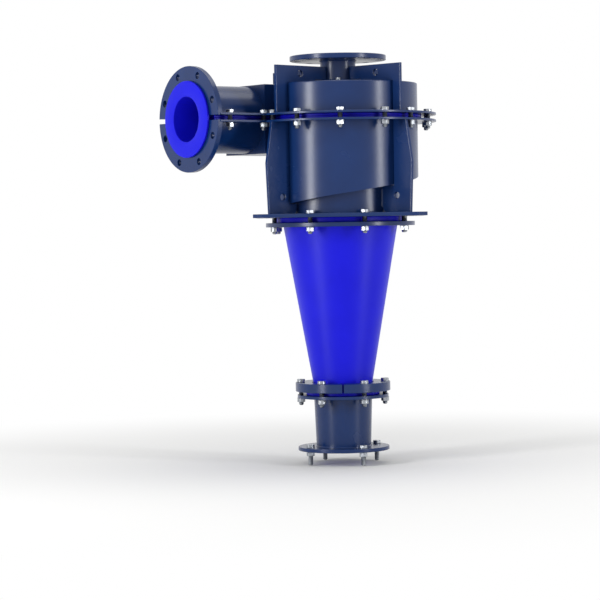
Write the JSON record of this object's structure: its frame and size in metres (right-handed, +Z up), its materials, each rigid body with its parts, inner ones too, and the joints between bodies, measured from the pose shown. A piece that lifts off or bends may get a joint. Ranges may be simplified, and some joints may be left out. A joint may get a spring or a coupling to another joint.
{
  "type": "hydrocyclone",
  "caption": "Hydrocyclone with a split spiral steel head, side inlet, top overflow, moulded cone and bolted underflow spigot, carried on a square plate",
  "frame": {"origin": "on the cyclone's axis at the underside of the square support plate, where it sits on its frame", "axes": "+Z up along the cyclone's axis to the overflow; +X along the support plate's edge, to the right in the picture; the inlet leaves to the left and front, 37.2 degrees from -X towards -Y"},
  "size_m": [0.9092, 0.6421, 1.3385],
  "materials": {
    "painted_steel": "semi-gloss navy paint",
    "polyurethane": "satin moulded polyurethane",
    "zinc_steel": "bright zinc plate"
  },
  "bodies": {
    "root": {"support_plate": "painted_steel", "lower_casing": "painted_steel", "upper_casing": "painted_steel", "overflow_pipe": "painted_steel", "cone_ring": "painted_steel", "clamp_ring_left": "painted_steel", "clamp_ring_right": "painted_steel", "spigot_housing": "painted_steel", "lower_rib_front_left": "painted_steel", "upper_rib_front_left": "painted_steel", "lower_rib_front_right": "painted_steel", "upper_rib_front_right": "painted_steel", "lower_rib_back_right": "painted_steel", "upper_rib_back_right": "painted_steel", "lower_rib_back_left": "painted_steel", "upper_rib_back_left": "painted_steel", "lower_liner": "polyurethane", "upper_liner": "polyurethane", "inlet_liner": "polyurethane", "vortex_finder": "polyurethane", "cone": "polyurethane", "spigot_liner": "polyurethane", "split_bolt_1": "zinc_steel", "split_bolt_2": "zinc_steel", "split_bolt_3": "zinc_steel", "split_bolt_4": "zinc_steel", "split_bolt_5": "zinc_steel", "split_bolt_6": "zinc_steel", "split_bolt_7": "zinc_steel", "split_bolt_8": "zinc_steel", "split_bolt_9": "zinc_steel", "split_bolt_10": "zinc_steel", "split_bolt_11": "zinc_steel", "split_bolt_12": "zinc_steel", "split_bolt_13": "zinc_steel", "split_bolt_14": "zinc_steel", "split_bolt_15": "zinc_steel", "split_bolt_16": "zinc_steel", "cone_bolt_1": "zinc_steel", "cone_bolt_2": "zinc_steel", "cone_bolt_3": "zinc_steel", "cone_bolt_4": "zinc_steel", "cone_bolt_5": "zinc_steel", "cone_bolt_6": "zinc_steel", "cone_bolt_7": "zinc_steel", "cone_bolt_8": "zinc_steel", "clamp_bolt_1": "zinc_steel", "clamp_bolt_2": "zinc_steel", "clamp_bolt_3": "zinc_steel", "clamp_bolt_4": "zinc_steel", "clamp_bolt_5": "zinc_steel", "clamp_bolt_6": "zinc_steel", "underflow_bolt_1": "zinc_steel", "underflow_bolt_2": "zinc_steel", "underflow_bolt_3": "zinc_steel", "underflow_bolt_4": "zinc_steel", "foot_bolt_1": "zinc_steel", "foot_bolt_2": "zinc_steel", "foot_bolt_3": "zinc_steel", "foot_bolt_4": "zinc_steel"}
  },
  "joints": []
}
